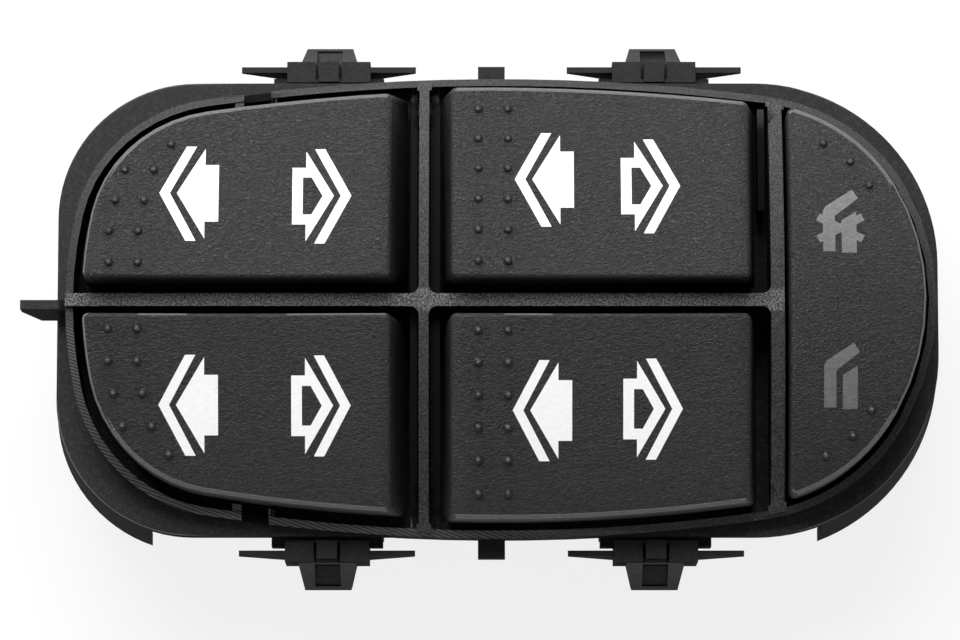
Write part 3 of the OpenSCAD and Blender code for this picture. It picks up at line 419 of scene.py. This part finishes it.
def crownShading(mesh, kind):
    # faces of the crown, and the roundings that start at its edge, take the crown's own normals
    places = [crownAt(kind, v.co.x, v.co.y) for v in mesh.vertices]
    heights = [v.co.z - place[0] for v, place in zip(mesh.vertices, places)]
    normals = [place[1] for place in places]
    crownFaces = {face.index for face in mesh.polygons
                  if all(abs(heights[v]) < 0.00025 and face.normal.dot(normals[v]) > 0.985 for v in face.vertices)}
    crownPoints = {v for index in crownFaces for v in mesh.polygons[index].vertices}
    current = [Vector(n.vector) for n in mesh.corner_normals]
    polish = mesh.attributes.new("edgePolish", "FLOAT", "CORNER")
    faceWidths = [narrowWidth(mesh, face) for face in mesh.polygons]
    for face in mesh.polygons:
        raised = max(heights[v] for v in face.vertices) > 0.00006
        for corner, v in zip(face.loop_indices, face.vertices):
            rounding = v in crownPoints and not raised and face.normal.dot(normals[v]) > 0.7
            if face.index in crownFaces or rounding:
                current[corner] = places[v][2]
            # painted highlight, with polish: pale colour on the outer roundings that face the light and on the
            # touch dots' tops; polish only on the rest of the roundings
            isEdge = (face.index not in crownFaces and heights[v] > -0.0009 and face.normal.z > 0.2
                      and faceWidths[face.index] < 0.0004)
            isHighlightedEdge = isEdge and not raised and getsEdgeHighlight(kind, face) and 0.55 < face.normal.z < 0.92
            isDotTop = isEdge and raised and face.normal.z > 0.9
            polish.data[corner].value = 1.0 if isHighlightedEdge else 0.85 if isDotTop else 0.55 if isEdge else 0.0
    mesh.normals_split_custom_set(current)
    print(mesh.name, "crown faces:", len(crownFaces), "of", len(mesh.polygons))


def roundFlangeEdge(piece, s):
    # the flange's outer top edge, round both ends of the frame, as moulded with a small radius
    bm = bmesh.new()
    bm.from_mesh(piece.data)
    chosen = []
    for edge in bm.edges:
        middle = (edge.verts[0].co + edge.verts[1].co) / 2
        if not edge.is_convex or abs(middle.x) < s["fromX"]:
            continue
        if max(abs(v.co.z - s["topZ"]) for v in edge.verts) > 0.00001:
            continue
        side = min(edge.link_faces, key=lambda face: abs(face.normal.z))
        top = max(edge.link_faces, key=lambda face: face.normal.z)
        outward = Vector((middle.x, middle.y, 0.0)).normalized()
        if top.normal.z > 0.99 and abs(side.normal.z) < 0.3 and side.normal.dot(outward) > 0.5:
            chosen.append(edge)
    bmesh.ops.bevel(bm, geom=chosen, offset=s["round"], offset_type="OFFSET", segments=2, profile=0.5,
                    affect="EDGES", clamp_overlap=False)
    print(piece.name, "edges rounded:", len(chosen))
    bm.to_mesh(piece.data)
    bm.free()


def finishByFacing(piece):
    # level faces are flat, so that no shading of a flank runs over a rib's top, and steep faces take a duller copy
    # of the plastic, whose darker colour is painted shade
    piece.data.materials.append(materials["dullShadedSide"])
    for face in piece.data.polygons:
        if face.normal.z > 0.95:
            face.use_smooth = False
        if abs(face.normal.z) < 0.4:
            face.material_index = 1


def stand(piece, node, body, material):
    piece.data.materials.append(materials[material])
    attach(piece, body)
    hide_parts(node)


housingPieces = {
    "bezelFrame": {"node": "bezel_frame", "material": "framePlastic", "slot": "frame"},
    "baseHousing": {"node": "base_housing", "material": "basePlastic", "slot": "base"},
}
flangeEdge = {"topZ": 0.023, "fromX": 0.041, "round": 0.00025}
for pieceName, s in housingPieces.items():
    piece = solidCopy(s["node"], pieceName, 0.5)
    if pieceName == "bezelFrame":
        roundFlangeEdge(piece, flangeEdge)
    smoothByAngle(piece.data, 25)
    stand(piece, s["node"], "root", s["material"])
    finishByFacing(piece)
print("housing pieces made")

rockerRows = {
    "upper_left": "UpperLeft", "upper_middle": "UpperMiddle", "lower_left": "LowerLeft",
    "lower_middle": "LowerMiddle", "lock": "Lock",
}
for place, title in rockerRows.items():
    body = "rocker_" + place
    kind = place.split("_")[-1]
    cap = solidCopy("cap_" + place, "cap" + title, 0.02)
    smoothByAngle(cap.data, 36)
    crownShading(cap.data, kind)
    stand(cap, "cap_" + place, body, "rockerPlastic")
    core = solidCopy("core_" + place, "core" + title, 0.02)
    smoothByAngle(core.data, 36)
    crownShading(core.data, kind)
    smoked = place == "lock"
    stand(core, "core_" + place, body, "symbolSmoked" if smoked else "symbolWhite")
print("rocker pieces made")

# the rubber dome pads under the plungers, as the frame's solids with a mesh of their own
for place, title in rockerRows.items():
    pad = solidCopy("domes_" + place, "domes" + title, 0.5)
    smoothByAngle(pad.data, 30)
    stand(pad, "domes_" + place, "root", "domeRubber")
    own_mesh(pad)
print("dome pads made")

# the other inner pieces keep the frame's solids and get their finish
innerFinish = {"circuit_board": "boardLaminate", "connector_header": "basePlastic", "terminals": "platedBrass",
               "control_chip": "chipPlastic", "regulator_chip": "chipPlastic"}
for place in rockerRows:
    innerFinish["lamps_" + place] = "lampResin"
for node, material in innerFinish.items():
    nodes[node].data.materials.clear()
    nodes[node].data.materials.append(materials[material])
print("inner pieces finished")


floorSettings = {"half": 2.4, "z": -0.0002, "white": (0.86, 0.86, 0.86), "glow": 0.82}
backdropSettings = {"radius": 2.3, "height": 0.9, "white": (0.86, 0.86, 0.86), "glow": 0.9}


def makePaleSurface(name, s):
    # pale paint that also shows its full white to the camera and in reflections
    material = bpy.data.materials.new(name)
    material.use_nodes = True
    tree = material.node_tree
    tree.nodes.remove(tree.nodes["Principled BSDF"])
    diffuse = tree.nodes.new("ShaderNodeBsdfDiffuse")
    diffuse.inputs["Color"].default_value = (*s["white"], 1.0)
    glow = tree.nodes.new("ShaderNodeEmission")
    path = tree.nodes.new("ShaderNodeLightPath")
    seen = addMath(tree, "MAXIMUM", path.outputs["Is Camera Ray"], path.outputs["Is Glossy Ray"])
    seen = addMath(tree, "MAXIMUM", seen, path.outputs["Is Transmission Ray"])
    mix = tree.nodes.new("ShaderNodeMixShader")
    tree.links.new(addMath(tree, "MULTIPLY", seen, s["glow"]), mix.inputs["Fac"])
    tree.links.new(diffuse.outputs[0], mix.inputs[1])
    tree.links.new(glow.outputs[0], mix.inputs[2])
    tree.links.new(mix.outputs[0], tree.nodes["Material Output"].inputs["Surface"])
    return material


def addStagePiece(name, bm, s):
    mesh = bpy.data.meshes.new(name)
    bm.to_mesh(mesh)
    bm.free()
    mesh.materials.append(makePaleSurface(name + "Paint", s))
    piece = bpy.data.objects.new(name, mesh)
    bpy.context.scene.collection.objects.link(piece)
    return piece


def makeBackground():
    bm = bmesh.new()
    bmesh.ops.create_grid(bm, x_segments=1, y_segments=1, size=floorSettings["half"])
    bmesh.ops.translate(bm, verts=bm.verts, vec=(0.0, 0.0, floorSettings["z"]))
    floor = addStagePiece("floor", bm, floorSettings)
    bm = bmesh.new()
    radius = backdropSettings["radius"]
    bmesh.ops.create_cone(bm, cap_ends=False, segments=64, radius1=radius, radius2=radius,
                          depth=backdropSettings["height"])
    bmesh.ops.translate(bm, verts=bm.verts, vec=(0.0, 0.0, backdropSettings["height"] / 2))
    backdrop = addStagePiece("backdrop", bm, backdropSettings)


lamps = {
    "keySoftbox": {"at": (-0.15, 0.6, 0.8), "size": (0.8, 0.5), "watts": 11.5},
    "topStrip": {"at": (-0.2, 1.1, 0.38), "size": (1.2, 0.12), "watts": 10.0},
    "leftStrip": {"at": (-1.1, 0.05, 0.38), "size": (0.9, 0.1), "watts": 4.0},
    "rightStrip": {"at": (1.1, 0.05, 0.38), "size": (0.9, 0.1), "watts": 2.5},
    "frontSoftbox": {"at": (0.0, -0.75, 0.4), "size": (0.9, 0.3), "watts": 0.8},
}
cameraSettings = {"at": (-0.002374, -0.09897, 0.71619), "tilt": 8.0, "lens": 196.875, "sensor": 36.0}
worldStrength = 0.13


def aimLamp(name, s):
    data = bpy.data.lights.new(name, "AREA")
    data.shape = "RECTANGLE"
    data.size, data.size_y = s["size"]
    data.energy = s["watts"]
    lamp = bpy.data.objects.new(name, data)
    lamp.location = s["at"]
    toCentre = Vector((0.0, 0.0, 0.02)) - Vector(s["at"])
    lamp.rotation_euler = toCentre.to_track_quat("-Z", "Y").to_euler()
    bpy.context.scene.collection.objects.link(lamp)


def makeStudio():
    scene = bpy.context.scene
    for name, s in lamps.items():
        aimLamp(name, s)
    world = bpy.data.worlds.new("studio")
    world.use_nodes = True
    tree = world.node_tree
    background = tree.nodes["Background"]
    background.inputs["Color"].default_value = (1.0, 1.0, 1.0, 1.0)
    background.inputs["Strength"].default_value = worldStrength
    scene.world = world
    data = bpy.data.cameras.new("photoCamera")
    data.lens = cameraSettings["lens"]
    data.sensor_width = cameraSettings["sensor"]
    data.clip_start = 0.01
    data.clip_end = 10.0
    camera = bpy.data.objects.new("photoCamera", data)
    camera.location = cameraSettings["at"]
    camera.rotation_euler = (math.radians(cameraSettings["tilt"]), 0.0, 0.0)
    scene.collection.objects.link(camera)
    scene.camera = camera
    scene.view_settings.view_transform = "Standard"


makeBackground()
makeStudio()
print("studio made")
